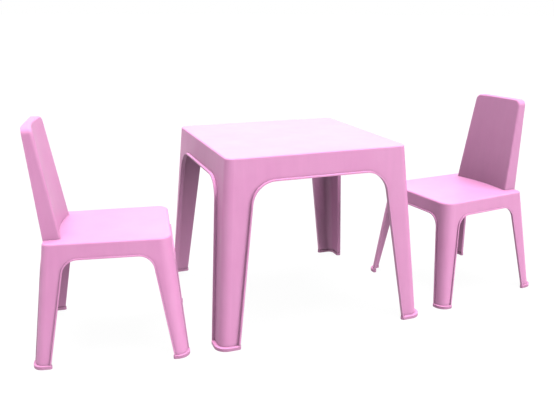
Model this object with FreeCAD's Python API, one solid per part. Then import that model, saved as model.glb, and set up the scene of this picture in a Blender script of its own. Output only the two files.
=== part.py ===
import FreeCAD, Part
import math
import os

# Children's table with two matching chairs.
# Three one-piece plastic mouldings stand on twelve separate push-on foot caps.
# Units are millimetres, +Z is up, the floor is z = 0.
# The origin is the middle of the whole set's footprint, at floor level.

V = FreeCAD.Vector
UP = V(0, 0, 1)

# Table
TABLE_HEIGHT = 440.0
TABLE_TOP_HALF = 225.0
TABLE_FOOT_HALF = 262.0
TABLE_WALL = 4.0
TABLE_TOP_CORNER = 18.0
TABLE_FOOT_CORNER = 22.0
TABLE_EDGE_ROUND = 4.0
TABLE_ARCH_CROWN = 382.5
TABLE_ARCH_HALF_AT_CROWN = 163.0
TABLE_ARCH_HALF_AT_FLOOR = 215.0
TABLE_ARCH_CORNER = 56.0
TABLE_FLANGE_PROUD = 6.5
TABLE_FLANGE_THICK = 3.5
TABLE_CAP_PROUD = 7.3

# Chair, in its own axes: x points forward, y to the chair's left, seat centre over the origin.
# Corner radii are at the seat and at the floor; arch positions are at the crown and at the floor.
SEAT_HEIGHT = 274.0
SEAT_FRONT = 136.0
SEAT_REAR = -136.0
SEAT_FRONT_HALF = 128.5
SEAT_REAR_HALF = 122.5
CHAIR_FOOT_FRONT = 161.0
CHAIR_FOOT_REAR = -170.0
CHAIR_FOOT_FRONT_HALF = 166.0
CHAIR_FOOT_REAR_HALF = 155.0
CHAIR_WALL = 3.2
FRONT_CORNER = (28.0, 24.0)
REAR_CORNER = (14.0, 18.0)
CHAIR_EDGE_ROUND = 5.0
CHAIR_ARCH_CROWN = 237.0
CHAIR_ARCH_CORNER = 34.0
SIDE_ARCH_FRONT = (91.0, 130.0)
SIDE_ARCH_REAR = (-93.0, -137.0)
FRONT_ARCH_HALF = (99.0, 136.0)
REAR_ARCH_HALF = (91.0, 125.0)
CHAIR_FLANGE_PROUD = 3.0
CHAIR_FLANGE_THICK = 3.0
CHAIR_CAP_PROUD = 4.0

# Backrest: a shell, dished in front and open behind; pairs are at the seat and at the top
BACK_TOP = 517.0
BACK_FRONT = (-93.5, -136.0)
BACK_REAR = (-136.0, -159.5)
BACK_HALF = (96.0, 82.5)
BACK_WALL = 3.0
BACK_DISH_RADIUS = 390.0
BACK_DISH_DEPTH = (12.0, 5.0)
BACK_TOP_CORNER = 16.0
BACK_TOP_EDGE = 4.0
BACK_FRONT_EDGE = 9.0

# Foot caps: a low L-shaped shoe pushed over the bottom of each leg
CAP_HEIGHT = 8.0
CAP_FLOOR = 3.0
CAP_INNER_LIP = 2.8
CAP_END_GAP = 3.5
CAP_EDGE_ROUND = 1.0

# Where each chair stands and which way it faces, degrees from +X
LEFT_CHAIR = (-464.3, -70.2, -9.4)
RIGHT_CHAIR = (476.8, -70.1, 186.95)


def mix(low, high, share):
    """The value a share of the way from low to high."""
    return low + (high - low) * share


def rounded_wire(points, radii):
    """A closed flat wire through the points, each corner rounded by its own radius."""
    count = len(points)
    first = []
    middle = []
    last = []
    for i in range(count):
        corner = points[i]
        back = (points[i - 1] - corner).normalize()
        ahead = (points[(i + 1) % count] - corner).normalize()
        half_angle = back.getAngle(ahead) / 2
        reach = radii[i] / math.tan(half_angle)
        inward = (back + ahead).normalize()
        centre = corner + inward * (radii[i] / math.sin(half_angle))
        first.append(corner + back * reach)
        middle.append(centre - inward * radii[i])
        last.append(corner + ahead * reach)
    edges = []
    for i in range(count):
        edges.append(Part.Arc(first[i], middle[i], last[i]).toShape())
        edges.append(Part.makeLine(last[i], first[(i + 1) % count]))
    return Part.Wire(edges)


def sharp_wire(points):
    """A closed flat wire with square corners."""
    return Part.makePolygon(points + [points[0]])


def loft(low, high):
    """A solid with straight walls between two like wires."""
    return Part.makeLoft([low, high], True, True)


def edges_at_height(shape, z):
    """The edges of the shape that lie wholly at one height."""
    found = []
    for edge in shape.Edges:
        if abs(edge.BoundBox.ZMin - z) < 0.05 and abs(edge.BoundBox.ZMax - z) < 0.05:
            found.append(edge)
    return found


def table_plan(z, grow):
    """The table's outline at a height: a square that spreads towards the floor."""
    share = (TABLE_HEIGHT - z) / TABLE_HEIGHT
    half = mix(TABLE_TOP_HALF, TABLE_FOOT_HALF, share) + grow
    radius = mix(TABLE_TOP_CORNER, TABLE_FOOT_CORNER, share) + grow
    points = [V(-half, -half, z), V(half, -half, z), V(half, half, z), V(-half, half, z)]
    return rounded_wire(points, [radius] * 4)


def chair_corners(z, grow):
    """The four corners of the chair's outline at a height, counter-clockwise from rear right."""
    share = (SEAT_HEIGHT - z) / SEAT_HEIGHT
    front = mix(SEAT_FRONT, CHAIR_FOOT_FRONT, share) + grow
    rear = mix(SEAT_REAR, CHAIR_FOOT_REAR, share) - grow
    front_half = mix(SEAT_FRONT_HALF, CHAIR_FOOT_FRONT_HALF, share) + grow
    rear_half = mix(SEAT_REAR_HALF, CHAIR_FOOT_REAR_HALF, share) + grow
    return [V(rear, -rear_half, z), V(front, -front_half, z), V(front, front_half, z), V(rear, rear_half, z)]


def chair_plan(z, grow):
    """The chair's outline at a height."""
    share = (SEAT_HEIGHT - z) / SEAT_HEIGHT
    front = mix(FRONT_CORNER[0], FRONT_CORNER[1], share) + grow
    rear = mix(REAR_CORNER[0], REAR_CORNER[1], share) + grow
    return rounded_wire(chair_corners(z, grow), [rear, front, front, rear])


def arch(low_left, high_left, low_right, high_right, crown, radius, grow, along, start, end):
    """A prism the shape of a leg arch, pushed along X or Y, wider than the opening by grow."""
    floor = -6.0
    left_slope = (high_left - low_left) / crown
    right_slope = (high_right - low_right) / crown
    top = crown + grow
    spots = [
        (low_left + left_slope * floor - grow, floor),
        (low_left + left_slope * top - grow, top),
        (low_right + right_slope * top + grow, top),
        (low_right + right_slope * floor + grow, floor),
    ]
    if along == "y":
        points = [V(s, start, z) for s, z in spots]
        push = V(0, end - start, 0)
    else:
        points = [V(start, s, z) for s, z in spots]
        push = V(end - start, 0, 0)
    wire = rounded_wire(points, [0.01, radius + grow, radius + grow, 0.01])
    return Part.Face(wire).extrude(push)


def moulded_shell(plan, height, wall, edge_round, proud, openings):
    """A thin upside-down tub on four legs, with a rim standing out round every arch."""
    outer = loft(plan(CAP_FLOOR, 0.0), plan(height, 0.0))
    outer = outer.makeFillet(edge_round, edges_at_height(outer, height))
    hollow = loft(plan(CAP_FLOOR - 8.0, -wall), plan(height - wall, -wall))
    grown = loft(plan(CAP_FLOOR, proud), plan(height - wall, proud))
    band = grown.cut(hollow)
    shell = outer.cut(hollow)
    rims = []
    for wide, narrow in openings:
        shell = shell.cut(narrow)
        rims.append(wide.cut(narrow).common(band))
    for wide, narrow in openings:
        rims = [rim.cut(narrow) for rim in rims]
    return shell.fuse(rims).removeSplitter()


def leg_cap(corner, along_a, along_b, length_a, length_b, radius, proud, band, body):
    """An L-shaped shoe under one leg; its top is open where the leg pushes in."""
    a = (along_a - corner).normalize()
    b = (along_b - corner).normalize()
    outer = corner - a * proud - b * proud
    end_a = outer + a * (length_a + proud + CAP_END_GAP)
    end_b = outer + b * (length_b + proud + CAP_END_GAP)
    points = [outer, end_a, end_a + b * band, outer + (a + b) * band, end_b + a * band, end_b]
    end_radius = band / 2 - 0.2
    inner_radius = max(radius + proud - band, 3.0)
    radii = [radius + proud, end_radius, end_radius, inner_radius, end_radius, end_radius]
    points = [V(p.x, p.y, 0) for p in points]
    block = Part.Face(rounded_wire(points, radii)).extrude(V(0, 0, CAP_HEIGHT))
    block = block.makeFillet(CAP_EDGE_ROUND, edges_at_height(block, CAP_HEIGHT))
    return block.cut(body)


def make_table():
    """The table moulding and its four caps."""
    reach = TABLE_FOOT_HALF + 40
    openings = []
    for along in ("x", "y"):
        pair = []
        for grow in (TABLE_FLANGE_THICK, 0.0):
            pair.append(arch(
                -TABLE_ARCH_HALF_AT_FLOOR, -TABLE_ARCH_HALF_AT_CROWN,
                TABLE_ARCH_HALF_AT_FLOOR, TABLE_ARCH_HALF_AT_CROWN,
                TABLE_ARCH_CROWN, TABLE_ARCH_CORNER, grow, along, -reach, reach))
        openings.append(pair)
    body = moulded_shell(table_plan, TABLE_HEIGHT, TABLE_WALL, TABLE_EDGE_ROUND,
                         TABLE_FLANGE_PROUD, openings)
    nodes = {"table_body": body}
    half = TABLE_FOOT_HALF
    corners = [V(-half, -half, 0), V(half, -half, 0), V(half, half, 0), V(-half, half, 0)]
    names = ["front_left", "front_right", "rear_right", "rear_left"]
    leg = TABLE_FOOT_HALF - TABLE_ARCH_HALF_AT_FLOOR
    band = TABLE_CAP_PROUD + TABLE_WALL + CAP_INNER_LIP
    for i in range(4):
        nodes["table_foot_cap_" + names[i]] = leg_cap(
            corners[i], corners[(i + 1) % 4], corners[i - 1], leg, leg,
            TABLE_FOOT_CORNER, TABLE_CAP_PROUD, band, body)
    return nodes


def back_block(shrink, rear_extra, low_z, top_z):
    """The backrest's outer block: it leans back, and narrows and thins towards the top."""
    wires = []
    for z in (low_z, top_z):
        share = (z - SEAT_HEIGHT) / (BACK_TOP - SEAT_HEIGHT)
        front = mix(BACK_FRONT[0], BACK_FRONT[1], share) - shrink
        rear = mix(BACK_REAR[0], BACK_REAR[1], share) - rear_extra
        half = mix(BACK_HALF[0], BACK_HALF[1], share) - shrink
        points = [V(rear, -half, z), V(front, -half, z), V(front, half, z), V(rear, half, z)]
        wires.append(sharp_wire(points))
    return loft(wires[0], wires[1])


def back_dish(grow):
    """A long leaning cylinder that hollows the front of the backrest a little."""
    radius = BACK_DISH_RADIUS
    low = V(BACK_FRONT[0] + radius - BACK_DISH_DEPTH[0], 0, SEAT_HEIGHT)
    high = V(BACK_FRONT[1] + radius - BACK_DISH_DEPTH[1], 0, BACK_TOP)
    lean = high - low
    start = low - lean * 0.3
    return Part.makeCylinder(radius + grow, lean.Length * 1.6, start, lean)


def rounded_back(block, shrink):
    """The block with its top corners and its two front edges rounded."""
    corners = []
    for edge in block.Edges:
        if edge.BoundBox.ZMin > BACK_TOP - 10 and edge.BoundBox.XLength > 5:
            corners.append(edge)
    block = block.makeFillet(BACK_TOP_CORNER - shrink, corners)
    fronts = []
    for edge in block.Edges:
        if edge.BoundBox.ZLength > 100 and edge.BoundBox.Center.x > -130:
            fronts.append(edge)
    return block.makeFillet(BACK_FRONT_EDGE - shrink, fronts)


def softened_top(block):
    """The block with its long top front edge rounded."""
    rims = []
    for edge in edges_at_height(block, BACK_TOP):
        if edge.BoundBox.YLength > 60 and edge.BoundBox.Center.x > BACK_REAR[1] + 8:
            rims.append(edge)
    return block.makeFillet(BACK_TOP_EDGE, rims)


def make_backrest():
    """The backrest shell, rounded and dished in front and open behind."""
    outer = rounded_back(back_block(0.0, 0.0, SEAT_HEIGHT - 2.0, BACK_TOP), 0.0)
    hollow = rounded_back(back_block(BACK_WALL, 30.0, SEAT_HEIGHT, BACK_TOP - BACK_WALL), BACK_WALL)
    outer = softened_top(outer.cut(back_dish(0.0)))
    hollow = hollow.cut(back_dish(BACK_WALL))
    return outer.cut(hollow)


def make_chair(name, x, y, turn):
    """One chair moulding and its four caps, set down where it stands."""
    openings = []
    for grow in (CHAIR_FLANGE_THICK, 0.0):
        side = arch(SIDE_ARCH_REAR[1], SIDE_ARCH_REAR[0], SIDE_ARCH_FRONT[1], SIDE_ARCH_FRONT[0],
                    CHAIR_ARCH_CROWN, CHAIR_ARCH_CORNER, grow, "y", -220, 220)
        front = arch(-FRONT_ARCH_HALF[1], -FRONT_ARCH_HALF[0], FRONT_ARCH_HALF[1], FRONT_ARCH_HALF[0],
                     CHAIR_ARCH_CROWN, CHAIR_ARCH_CORNER, grow, "x", 0, 220)
        rear = arch(-REAR_ARCH_HALF[1], -REAR_ARCH_HALF[0], REAR_ARCH_HALF[1], REAR_ARCH_HALF[0],
                    CHAIR_ARCH_CROWN, CHAIR_ARCH_CORNER, grow, "x", -220, 0)
        openings.append((side, front, rear))
    pairs = list(zip(openings[0], openings[1]))
    body = moulded_shell(chair_plan, SEAT_HEIGHT, CHAIR_WALL, CHAIR_EDGE_ROUND,
                         CHAIR_FLANGE_PROUD, pairs)
    body = body.fuse(make_backrest()).removeSplitter()
    corners = chair_corners(0.0, 0.0)
    names = ["rear_right", "front_right", "front_left", "rear_left"]
    side_legs = [
        SIDE_ARCH_REAR[1] - CHAIR_FOOT_REAR,
        CHAIR_FOOT_FRONT - SIDE_ARCH_FRONT[1],
        CHAIR_FOOT_FRONT - SIDE_ARCH_FRONT[1],
        SIDE_ARCH_REAR[1] - CHAIR_FOOT_REAR,
    ]
    cross_legs = [
        CHAIR_FOOT_REAR_HALF - REAR_ARCH_HALF[1],
        CHAIR_FOOT_FRONT_HALF - FRONT_ARCH_HALF[1],
        CHAIR_FOOT_FRONT_HALF - FRONT_ARCH_HALF[1],
        CHAIR_FOOT_REAR_HALF - REAR_ARCH_HALF[1],
    ]
    side_partner = [1, 0, 3, 2]
    cross_partner = [3, 2, 1, 0]
    radii = [REAR_CORNER[1], FRONT_CORNER[1], FRONT_CORNER[1], REAR_CORNER[1]]
    band = CHAIR_CAP_PROUD + CHAIR_WALL + CAP_INNER_LIP
    nodes = {name + "_body": body}
    for i in range(4):
        nodes[name + "_foot_cap_" + names[i]] = leg_cap(
            corners[i], corners[side_partner[i]], corners[cross_partner[i]],
            side_legs[i], cross_legs[i], radii[i], CHAIR_CAP_PROUD, band, body)
    for shape in nodes.values():
        shape.rotate(V(0, 0, 0), UP, turn)
        shape.translate(V(x, y, 0))
    return nodes


def limits(shapes):
    """The lowest and highest X and Y of the shapes, read from fine meshes."""
    spots = []
    for shape in shapes:
        spots.extend(shape.tessellate(0.2)[0])
    xs = [p.x for p in spots]
    ys = [p.y for p in spots]
    return min(xs), max(xs), min(ys), max(ys)


def main():
    os.makedirs("parts", exist_ok=True)
    nodes = make_table()
    nodes.update(make_chair("left_chair", *LEFT_CHAIR))
    nodes.update(make_chair("right_chair", *RIGHT_CHAIR))
    x0, x1, y0, y1 = limits(nodes.values())
    shift = V(-(x0 + x1) / 2, -(y0 + y1) / 2, 0)
    print("set spans", round(x1 - x0, 1), "by", round(y1 - y0, 1), "mm; shift", shift)
    for name, shape in nodes.items():
        shape.translate(shift)
        shape.exportStep("parts/" + name + ".step")
        print(name, "valid", shape.isValid(), "solids", len(shape.Solids),
              "volume cm3", round(shape.Volume / 1000, 1))


main()
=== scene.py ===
# %% [markdown]
# # A children's table and two chairs in moulded plastic
# The set is three large one-piece mouldings that stand on twelve small push-on foot caps.
# Their shapes come from the CAD model, which already has every wall, rim and rounded edge,
# so each CAD piece stays as it is. This lesson adds what the eye looks for next:
# a believable plastic, the wear of a nursery, soft studio light and a camera.

# %% Load the model
import bpy
import bmesh
import math
from mathutils import Matrix, Vector


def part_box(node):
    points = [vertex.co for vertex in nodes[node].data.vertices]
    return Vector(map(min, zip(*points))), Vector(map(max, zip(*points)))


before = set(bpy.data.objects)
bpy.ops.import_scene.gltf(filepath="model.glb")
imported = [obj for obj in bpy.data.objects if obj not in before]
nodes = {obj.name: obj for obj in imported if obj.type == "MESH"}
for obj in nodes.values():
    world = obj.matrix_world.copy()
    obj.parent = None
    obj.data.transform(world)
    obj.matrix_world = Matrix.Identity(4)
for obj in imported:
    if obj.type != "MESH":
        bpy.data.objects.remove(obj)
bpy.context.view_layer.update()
scene = bpy.context.scene

# %% [markdown]
# ## The camera
# The set is seen from the front left, from 0.76 m up, about a small child's eye height.
# A camera could be aimed with a Track To constraint, but a constraint keeps no roll.
# So we work out the three directions of the view, right, up and forward, and put them
# side by side in a matrix. Blender's cameras look along their own -Z, hence the minus.
# The small shift slides the view sideways without turning the camera.

# %% Camera at the table's front left corner
YAW = math.radians(21.653)
PITCH = math.radians(16.522)
ROLL = math.radians(0.248)
FROM_TABLE = Vector((-0.6254, -1.6275, 0.7602))
SENSOR_WIDTH = 36.0
FOCAL_LENGTH = 44.39
SHIFT_ACROSS = -0.029

table_low, table_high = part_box("table_body")
table_middle = (Vector(table_low) + Vector(table_high)) / 2
table_middle.z = 0.0

level_forward = Vector((math.sin(YAW), math.cos(YAW), 0.0))
forward = level_forward * math.cos(PITCH) - Vector((0.0, 0.0, math.sin(PITCH)))
level_right = Vector((math.cos(YAW), -math.sin(YAW), 0.0))
level_up = level_right.cross(forward)
right = level_right * math.cos(ROLL) + level_up * math.sin(ROLL)
up = level_up * math.cos(ROLL) - level_right * math.sin(ROLL)

camera_data = bpy.data.cameras.new("studio_camera")
camera_data.sensor_width = SENSOR_WIDTH
camera_data.lens = FOCAL_LENGTH
camera_data.shift_x = SHIFT_ACROSS
camera_data.clip_end = 500.0
camera = bpy.data.objects.new("studio_camera", camera_data)
scene.collection.objects.link(camera)
facing = Matrix((right, up, -forward)).transposed().to_4x4()
camera.matrix_world = Matrix.Translation(table_middle + FROM_TABLE) @ facing
scene.camera = camera
print("camera stands at", [round(v, 3) for v in camera.matrix_world.translation])

# %% [markdown]
# ## Two small tools
# A designer names a colour by its sRGB hex code. Blender's shaders count light, so the code
# is turned to linear values first, or every pink would come out washed.
# The second tool adds one shader node, with its settings and with either plain values or
# links on its sockets. Every finish below is written with it.

# %% Colour and node tools
def linear(code):
    """An sRGB hex colour as linear red, green, blue and alpha."""
    shares = [int(code[i:i + 2], 16) / 255 for i in (1, 3, 5)]
    light = [s / 12.92 if s <= 0.04045 else ((s + 0.055) / 1.055) ** 2.4 for s in shares]
    return light + [1.0]


def add_node(tree, kind, settings=None, inputs=None):
    """One node in the tree: settings are its options, inputs are values or sockets to link."""
    node = tree.nodes.new(kind)
    for name, value in (settings or {}).items():
        setattr(node, name, value)
    for name, value in (inputs or {}).items():
        if isinstance(value, bpy.types.NodeSocket):
            tree.links.new(value, node.inputs[name])
        else:
            node.inputs[name].default_value = value
    return node


print("pink as linear light:", [round(v, 3) for v in linear("#F7A4DA")])

# %% [markdown]
# ## What moulded plastic looks like
# The set is injection-moulded polypropylene, the plastic of garden chairs. Pigment is mixed
# into the granules, so the pink goes right through, but the melt never mixes perfectly:
# there are broad clouds a hand wide, and faint streaks where it ran down the legs.
# An image would be one way to paint them. Noise read from Object coordinates needs no
# image, has a true size in metres, and runs unbroken over every face of the piece.

# %% Pigment: clouds and flow streaks
CLOUD_SIZE = 0.085
STREAK_WIDTH = 0.011
STREAK_LENGTH = 0.160


def pigment(tree, place, plain, pale, deep):
    """The body colour with hand-wide clouds and faint streaks from the melt's flow."""
    clouds = add_node(tree, "ShaderNodeTexNoise", {}, {
        "Vector": place, "Scale": 1 / CLOUD_SIZE, "Detail": 3.0, "Roughness": 0.55})
    cloudy = add_node(tree, "ShaderNodeValToRGB", {}, {"Fac": clouds.outputs["Fac"]})
    ramp = cloudy.color_ramp.elements
    ramp[0].position = 0.30
    ramp[0].color = linear(deep)
    ramp[1].position = 0.72
    ramp[1].color = linear(pale)
    middle = ramp.new(0.50)
    middle.color = linear(plain)
    stretched = add_node(tree, "ShaderNodeMapping", {}, {
        "Vector": place, "Scale": (1 / STREAK_WIDTH, 1 / STREAK_WIDTH, 1 / STREAK_LENGTH)})
    streaks = add_node(tree, "ShaderNodeTexNoise", {}, {
        "Vector": stretched.outputs["Vector"], "Scale": 1.0, "Detail": 2.0})
    shade = add_node(tree, "ShaderNodeMapRange", {}, {
        "Value": streaks.outputs["Fac"], "From Min": 0.3, "From Max": 0.7,
        "To Min": 0.986, "To Max": 1.010})
    coloured = add_node(tree, "ShaderNodeVectorMath", {"operation": "SCALE"}, {
        "Vector": cloudy.outputs["Color"], "Scale": shade.outputs["Result"]})
    return coloured.outputs["Vector"]


print("clouds", CLOUD_SIZE * 1000, "mm")
print("streaks", STREAK_WIDTH * 1000, "by", STREAK_LENGTH * 1000, "mm")

# %% [markdown]
# ## Where the edges are
# Hands, mops and stacked chairs touch the edges first. They polish and pale the plastic there.
# Pointiness finds edges only where the mesh is dense. A Bevel node works on any mesh: it gives
# the normal that the surface would have if its edges were rounded. Where that disagrees with
# the true normal there is an edge, so the dot product of the two, falling from 1, makes a
# soft mask along it. Noise then breaks the mask up, because wear is never even.
# This set is nearly new, so less than a third of the rubbed colour shows through.
# That paler edge colour is partly wear and partly a painted highlight on the rounded edges.

# %% Edge wear and painted edge highlight
WEAR_WIDTH = 0.0030
NICK_SIZE = 0.009
WEAR_AND_HIGHLIGHT_SHARE = 0.30


def worn_and_highlit_edges(tree, place):
    """A mask from 0 on the flats to 1 on the most rubbed parts of the edges."""
    rounded = add_node(tree, "ShaderNodeBevel", {"samples": 4}, {"Radius": WEAR_WIDTH})
    surface = add_node(tree, "ShaderNodeNewGeometry")
    agree = add_node(tree, "ShaderNodeVectorMath", {"operation": "DOT_PRODUCT"}, {
        0: rounded.outputs["Normal"], 1: surface.outputs["Normal"]})
    edge = add_node(tree, "ShaderNodeMapRange", {}, {
        "Value": agree.outputs["Value"], "From Min": 0.995, "From Max": 0.80,
        "To Min": 0.0, "To Max": 1.0})
    nicks = add_node(tree, "ShaderNodeTexNoise", {}, {
        "Vector": place, "Scale": 1 / NICK_SIZE, "Detail": 4.0, "Roughness": 0.7})
    patchy = add_node(tree, "ShaderNodeMapRange", {}, {
        "Value": nicks.outputs["Fac"], "From Min": 0.34, "From Max": 0.62,
        "To Min": 0.25, "To Max": 1.0})
    worn = add_node(tree, "ShaderNodeMath", {"operation": "MULTIPLY"}, {
        0: edge.outputs["Result"], 1: patchy.outputs["Result"]})
    return worn.outputs["Value"]


print("edges are rubbed over", WEAR_WIDTH * 1000, "mm")

# %% [markdown]
# ## Painted shade in the crevices, and floor grey
# The colour is darkened behind the rims of the arches and in the seam above each foot cap,
# where shade falls: this is painted shade. The Ambient Occlusion node measures how shut in
# a point is within a few millimetres, and that gives the darkening. The floor also leaves a
# little grey on the last centimetre of every leg, and height alone, the Z of Object coordinates,
# gives that.

# %% Painted crevice shade and floor marks
PAINTED_SHADE_REACH = 0.008
FLOOR_MARK_HEIGHT = 0.016
FLOOR_GREY = "#A98FA0"


def crevice_shade_and_floor_dust(tree, place, coloured):
    """The colour with painted shade in its crevices and a trace of grey next to the floor."""
    # Painted shade: ambient occlusion darkens the colour in shut-in places.
    shut_in = add_node(tree, "ShaderNodeAmbientOcclusion", {"samples": 6, "only_local": False}, {
        "Distance": PAINTED_SHADE_REACH})
    dim = add_node(tree, "ShaderNodeMapRange", {}, {
        "Value": shut_in.outputs["AO"], "From Min": 0.25, "From Max": 0.85,
        "To Min": 0.62, "To Max": 1.0})
    painted_crevice_shade = add_node(tree, "ShaderNodeVectorMath", {"operation": "SCALE"}, {
        "Vector": coloured, "Scale": dim.outputs["Result"]})
    height = add_node(tree, "ShaderNodeSeparateXYZ", {}, {"Vector": place})
    low = add_node(tree, "ShaderNodeMapRange", {}, {
        "Value": height.outputs["Z"], "From Min": 0.0, "From Max": FLOOR_MARK_HEIGHT,
        "To Min": 0.22, "To Max": 0.0})
    marked = add_node(tree, "ShaderNodeMix", {"data_type": "RGBA"}, {
        "Factor": low.outputs["Result"], 6: painted_crevice_shade.outputs["Vector"], 7: linear(FLOOR_GREY)})
    return marked.outputs[2]


print("crevices reach", PAINTED_SHADE_REACH * 1000, "mm")

# %% [markdown]
# ## The skin of the mould
# The steel mould is spark-eroded, which gives the plastic a satin skin of tiny pits about
# 0.15 mm apart, so it glows softly and never mirrors. Pits that fine would vanish between
# the dots of any picture, so they are drawn 1.4 mm apart and very shallow.
# As the wall cools it also sinks a few hundredths of a millimetre, in waves a few
# centimetres long. They are what makes a long highlight on a real moulding waver.
# Both go through Bump nodes, chained so that each adds to the last.

# %% Grain and cooling waves
PIT_SPACING = 0.0014
PIT_DEPTH = 0.00005
WAVE_LENGTH = 0.045
WAVE_DEPTH = 0.00010
SOFT_EDGE = 0.0009


def moulded_skin(tree, place, pit_depth):
    """The normal of a satin moulded wall with its sharp arrises softened."""
    softened = add_node(tree, "ShaderNodeBevel", {"samples": 4}, {"Radius": SOFT_EDGE})
    waves = add_node(tree, "ShaderNodeTexNoise", {}, {
        "Vector": place, "Scale": 1 / WAVE_LENGTH, "Detail": 1.0})
    wavy = add_node(tree, "ShaderNodeBump", {}, {
        "Strength": 1.0, "Distance": WAVE_DEPTH, "Height": waves.outputs["Fac"],
        "Normal": softened.outputs["Normal"]})
    pits = add_node(tree, "ShaderNodeTexNoise", {}, {
        "Vector": place, "Scale": 1 / PIT_SPACING, "Detail": 2.0, "Roughness": 0.6})
    pitted = add_node(tree, "ShaderNodeBump", {}, {
        "Strength": 1.0, "Distance": pit_depth, "Height": pits.outputs["Fac"],
        "Normal": wavy.outputs["Normal"]})
    return pitted.outputs["Normal"]


print("pits", PIT_SPACING * 1000, "mm apart, waves", WAVE_LENGTH * 1000, "mm long")

# %% [markdown]
# ## Satin that hands have changed
# Fresh from the mould the roughness would be even. Wiping and handling make cloudy smooth
# patches, and scuffs make rough ones, so roughness gets its own slow noise and a little
# fine noise. The rubbed edges are smoother still.

# %% Satin sheen
SMUDGE_SIZE = 0.060


def handled_satin(tree, place, rubbed, smooth, rough):
    """A roughness between smooth and rough, lower on the rubbed edges."""
    smudges = add_node(tree, "ShaderNodeTexNoise", {}, {
        "Vector": place, "Scale": 1 / SMUDGE_SIZE, "Detail": 5.0, "Roughness": 0.65})
    satin = add_node(tree, "ShaderNodeMapRange", {}, {
        "Value": smudges.outputs["Fac"], "From Min": 0.32, "From Max": 0.68,
        "To Min": smooth, "To Max": rough})
    polish = add_node(tree, "ShaderNodeMath", {"operation": "MULTIPLY"}, {0: rubbed, 1: 0.10})
    sheen = add_node(tree, "ShaderNodeMath", {"operation": "SUBTRACT"}, {
        0: satin.outputs["Result"], 1: polish.outputs["Value"]})
    return sheen.outputs["Value"]


print("smudges are", SMUDGE_SIZE * 1000, "mm across")

# %% [markdown]
# ## One recipe, several mouldings
# The finishes above are steps of one recipe. Each moulding gets its own material made by it,
# with the noise read from a different place, because no two shots from a mould match.
# Polypropylene bends light by about 1.49, and it is no metal. Those are the same all over
# the piece, so they are typed straight on the shader.

# %% The plastic recipe
def moulded_plastic(name, start, colours, roughness, pit_depth):
    """A moulded plastic: colours are plain, pale, deep and rubbed, the last partly a painted
    edge highlight; start moves the noise.
    """
    material = bpy.data.materials.new(name)
    material.use_nodes = True
    tree = material.node_tree
    tree.nodes.clear()
    plain, pale, deep, rubbed_and_highlight_colour = colours
    coordinates = add_node(tree, "ShaderNodeTexCoord")
    place = coordinates.outputs["Object"]
    moved = add_node(tree, "ShaderNodeMapping", {}, {"Vector": place, "Location": start})
    own_place = moved.outputs["Vector"]
    rubbed = worn_and_highlit_edges(tree, own_place)
    body_colour = pigment(tree, own_place, plain, pale, deep)
    # The edges are paled here: partly wear, partly a painted edge highlight.
    edge_wear_and_highlight = add_node(tree, "ShaderNodeMath", {"operation": "MULTIPLY"}, {
        0: rubbed, 1: WEAR_AND_HIGHLIGHT_SHARE})
    worn_and_highlit_colour = add_node(tree, "ShaderNodeMix", {"data_type": "RGBA"}, {
        "Factor": edge_wear_and_highlight.outputs["Value"], 6: body_colour, 7: linear(rubbed_and_highlight_colour)})
    # The colour gets painted shade in its crevices and real grey from the floor.
    colour = crevice_shade_and_floor_dust(tree, place, worn_and_highlit_colour.outputs[2])
    sheen = handled_satin(tree, own_place, rubbed, roughness[0], roughness[1])
    shader = add_node(tree, "ShaderNodeBsdfPrincipled", {}, {
        "Base Color": colour, "Roughness": sheen, "IOR": 1.49, "Metallic": 0.0,
        "Normal": moulded_skin(tree, own_place, pit_depth)})
    add_node(tree, "ShaderNodeOutputMaterial", {}, {"Surface": shader.outputs["BSDF"]})
    print(name, "has", len(tree.nodes), "nodes")
    return material


# %% [markdown]
# ## The three mouldings
# Table and chairs are the same nursery pink: polypropylene, moulded in a satin mould. The eye
# gets a soft, slightly chalky pink with wide dull highlights.
# The four pinks are the plain body, the pale and deep clouds, and the rubbed edges, which are
# partly wear and partly a painted highlight.

# %% Pink polypropylene for the table and the chairs
PINKS = ("#F7A4DA", "#F8A7DC", "#F5A1D8", "#FAB6E3")
SATIN = (0.40, 0.52)
NOISE_STARTS = {
    "table": (0.0, 0.0, 0.0),
    "left_chair": (3.1, 0.7, 0.4),
    "right_chair": (5.3, 2.9, 1.1),
}

finishes = {}
for moulding, start in NOISE_STARTS.items():
    finishes[moulding] = moulded_plastic(
        "satin_polypropylene_" + moulding, start, PINKS, SATIN, PIT_DEPTH)

# %% [markdown]
# ## The foot caps
# The caps are pushed over the leg ends so that they grip the floor and don't scratch it.
# They are a softer grade of the same plastic, so they are a touch deeper in colour, and
# duller, with more pits, because scuffing on the floor takes their shine first.

# %% Softer plastic for the caps
# The last cap pink, on the edges, is partly wear and partly a painted highlight.
CAP_PINKS = ("#F09CD2", "#F4A1D6", "#EA94CB", "#F8B4DF")
DULL = (0.50, 0.62)
CAP_NOISE_START = (1.7, 4.2, 0.9)
CAP_PIT_DEPTH = 1.6 * PIT_DEPTH

cap_finish = moulded_plastic(
    "soft_grade_polypropylene_caps", CAP_NOISE_START, CAP_PINKS, DULL, CAP_PIT_DEPTH)

# %% [markdown]
# ## Dress the pieces
# Each CAD piece has one material slot. Its mesh is not touched.

# %% Give every piece its finish
for name, piece in nodes.items():
    piece.data.materials.clear()
    if "foot_cap" in name:
        piece.data.materials.append(cap_finish)
    else:
        piece.data.materials.append(finishes[name.replace("_body", "")])
    print(name, "wears", piece.data.materials[0].name)

# %% [markdown]
# ## The studio floor
# Catalogue pictures of furniture are taken on a seamless white sweep, lit until it burns
# out. A glowing floor gives the same white. Its small diffuse share still catches a breath
# of shadow, which holds the feet down. Its light is kept off the plastic, because so much
# white light from below would flatten the legs. The floor casts no shadow either, so the
# low world light also comes up from below, as from a dimmer floor.

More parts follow.
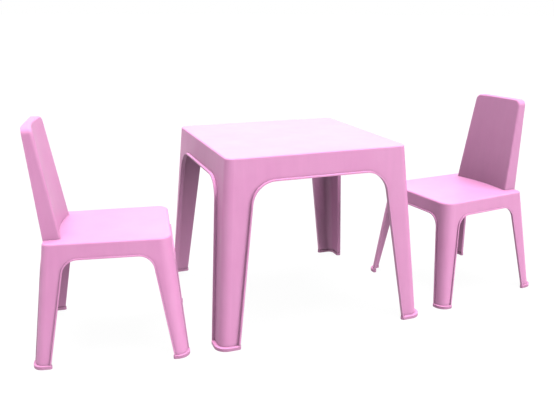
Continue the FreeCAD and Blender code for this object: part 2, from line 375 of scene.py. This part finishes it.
# %% Floor
WHITE = (1.0, 1.0, 1.0, 1.0)
FLOOR_RADIUS = 60.0
PAPER_GREY = (0.06, 0.06, 0.06, 1.0)
PAPER_GLOW = 0.97

rim = bmesh.new()
bmesh.ops.create_circle(rim, cap_ends=True, segments=96, radius=FLOOR_RADIUS)
floor_mesh = bpy.data.meshes.new("studio_floor")
rim.to_mesh(floor_mesh)
rim.free()
floor = bpy.data.objects.new("studio_floor", floor_mesh)
scene.collection.objects.link(floor)
floor.visible_diffuse = False
floor.visible_shadow = False

sweep = bpy.data.materials.new("white_paper_sweep")
sweep.use_nodes = True
sweep.node_tree.nodes.clear()
paper = add_node(sweep.node_tree, "ShaderNodeBsdfPrincipled", {}, {
    "Base Color": PAPER_GREY, "Roughness": 0.9, "Specular IOR Level": 0.0,
    "Emission Color": WHITE, "Emission Strength": PAPER_GLOW})
add_node(sweep.node_tree, "ShaderNodeOutputMaterial", {}, {"Surface": paper.outputs["BSDF"]})
floor_mesh.materials.append(sweep)
print("floor radius", FLOOR_RADIUS, "m")

# %% [markdown]
# ## The backdrop
# Behind the floor stands a huge white ball, seen from inside, so that no view runs off the
# paper. Its faces are reversed because create_uvsphere makes them point outwards.
# Satin plastic seen at a slant reflects it as a pale haze, but it lights nothing and casts
# no shadow: that is the lamps' work.

# %% Backdrop
BACKDROP_RADIUS = 55.0

ball = bmesh.new()
bmesh.ops.create_uvsphere(ball, u_segments=64, v_segments=32, radius=BACKDROP_RADIUS)
bmesh.ops.reverse_faces(ball, faces=ball.faces)
backdrop_mesh = bpy.data.meshes.new("studio_backdrop")
ball.to_mesh(backdrop_mesh)
ball.free()
backdrop = bpy.data.objects.new("studio_backdrop", backdrop_mesh)
scene.collection.objects.link(backdrop)
backdrop.visible_diffuse = False
backdrop.visible_shadow = False
backdrop.visible_transmission = False

cloth = bpy.data.materials.new("white_backdrop")
cloth.use_nodes = True
cloth.node_tree.nodes.clear()
glow = add_node(cloth.node_tree, "ShaderNodeEmission", {}, {
    "Color": WHITE, "Strength": 1.0})
add_node(cloth.node_tree, "ShaderNodeOutputMaterial", {}, {"Surface": glow.outputs["Emission"]})
backdrop_mesh.materials.append(cloth)
print("backdrop radius", BACKDROP_RADIUS, "m")

# %% [markdown]
# ## The light
# A low white world stands for light that bounces round the studio. It is kept low, or the
# insides of the legs would never go dark. On top of it come three wide lamps: a ceiling bank
# straight overhead, with a filter that stops its glare on the table top, a window at the
# front right, which lights the aprons and legs, and a weak white panel on the left, which
# keeps the left-hand faces from going dull.
# Suns are used for all three, because a sun's strength is what a facing surface gets, whatever
# its distance, and its angle makes it as wide and soft as a bank of lamps.
#
# Light that leaves one pink face and lands on another would turn the insides and the seat
# corners a hot pink. The real pieces stay a cool, greyish pink there, so diffuse light
# gets no bounces.

# %% World, ceiling bank, window and side panel
WORLD_STRENGTH = 0.183
CEILING_STRENGTH = 1.308
WINDOW_STRENGTH = 0.530
PANEL_STRENGTH = 0.170
LAMP_WIDTH = math.radians(45.0)

world = bpy.data.worlds.new("studio_world")
world.use_nodes = True
sky = world.node_tree.nodes["Background"]
sky.inputs["Color"].default_value = WHITE
sky.inputs["Strength"].default_value = WORLD_STRENGTH
scene.world = world
scene.cycles.diffuse_bounces = 0


def wide_lamp(name, towards, strength, glares):
    """A wide soft lamp in the given direction; a facing white gives back its strength."""
    data = bpy.data.lights.new(name, "SUN")
    data.energy = strength * math.pi
    data.angle = LAMP_WIDTH
    lamp = bpy.data.objects.new(name, data)
    scene.collection.objects.link(lamp)
    lamp.rotation_mode = "QUATERNION"
    lamp.rotation_quaternion = Vector(towards).to_track_quat("Z", "Y")
    lamp.visible_glossy = glares
    print(name, "strength", strength)


wide_lamp("ceiling_bank", (0.04, 0.0, 1.0), CEILING_STRENGTH, glares=False)
wide_lamp("window", (0.62, -0.74, 0.30), WINDOW_STRENGTH, glares=True)
wide_lamp("side_panel", (-1.0, -0.1, 0.05), PANEL_STRENGTH, glares=True)

# %% [markdown]
# ## A softbox for the table top
# The table top is nearly white, and the seats are a little pinker. A softbox with a grid hangs
# over the table: the grid lets light out only straight down, so it misses the chairs.
# An area lamp's spread is its grid. It has the same filter against glare as the ceiling bank.

# %% Softbox with a grid
SOFTBOX_SIZE = 0.66
SOFTBOX_HEIGHT = 2.0
SOFTBOX_WATTS = 0.735
GRID_SPREAD = math.radians(14.0)

softbox_data = bpy.data.lights.new("table_softbox", "AREA")
softbox_data.shape = "SQUARE"
softbox_data.size = SOFTBOX_SIZE
softbox_data.spread = GRID_SPREAD
softbox_data.energy = SOFTBOX_WATTS
softbox = bpy.data.objects.new("table_softbox", softbox_data)
softbox.location = table_middle + Vector((0.0, 0.0, SOFTBOX_HEIGHT))
softbox.visible_glossy = False
scene.collection.objects.link(softbox)
print("softbox", SOFTBOX_SIZE, "m wide,", SOFTBOX_HEIGHT, "m up")

# %% [markdown]
# ## Colour on the screen
# The Standard view keeps a hex colour true and lets bright tops burn to white, as the flat
# light of a catalogue does. A filmic view would grey the pinks.

scene.view_settings.view_transform = "Standard"
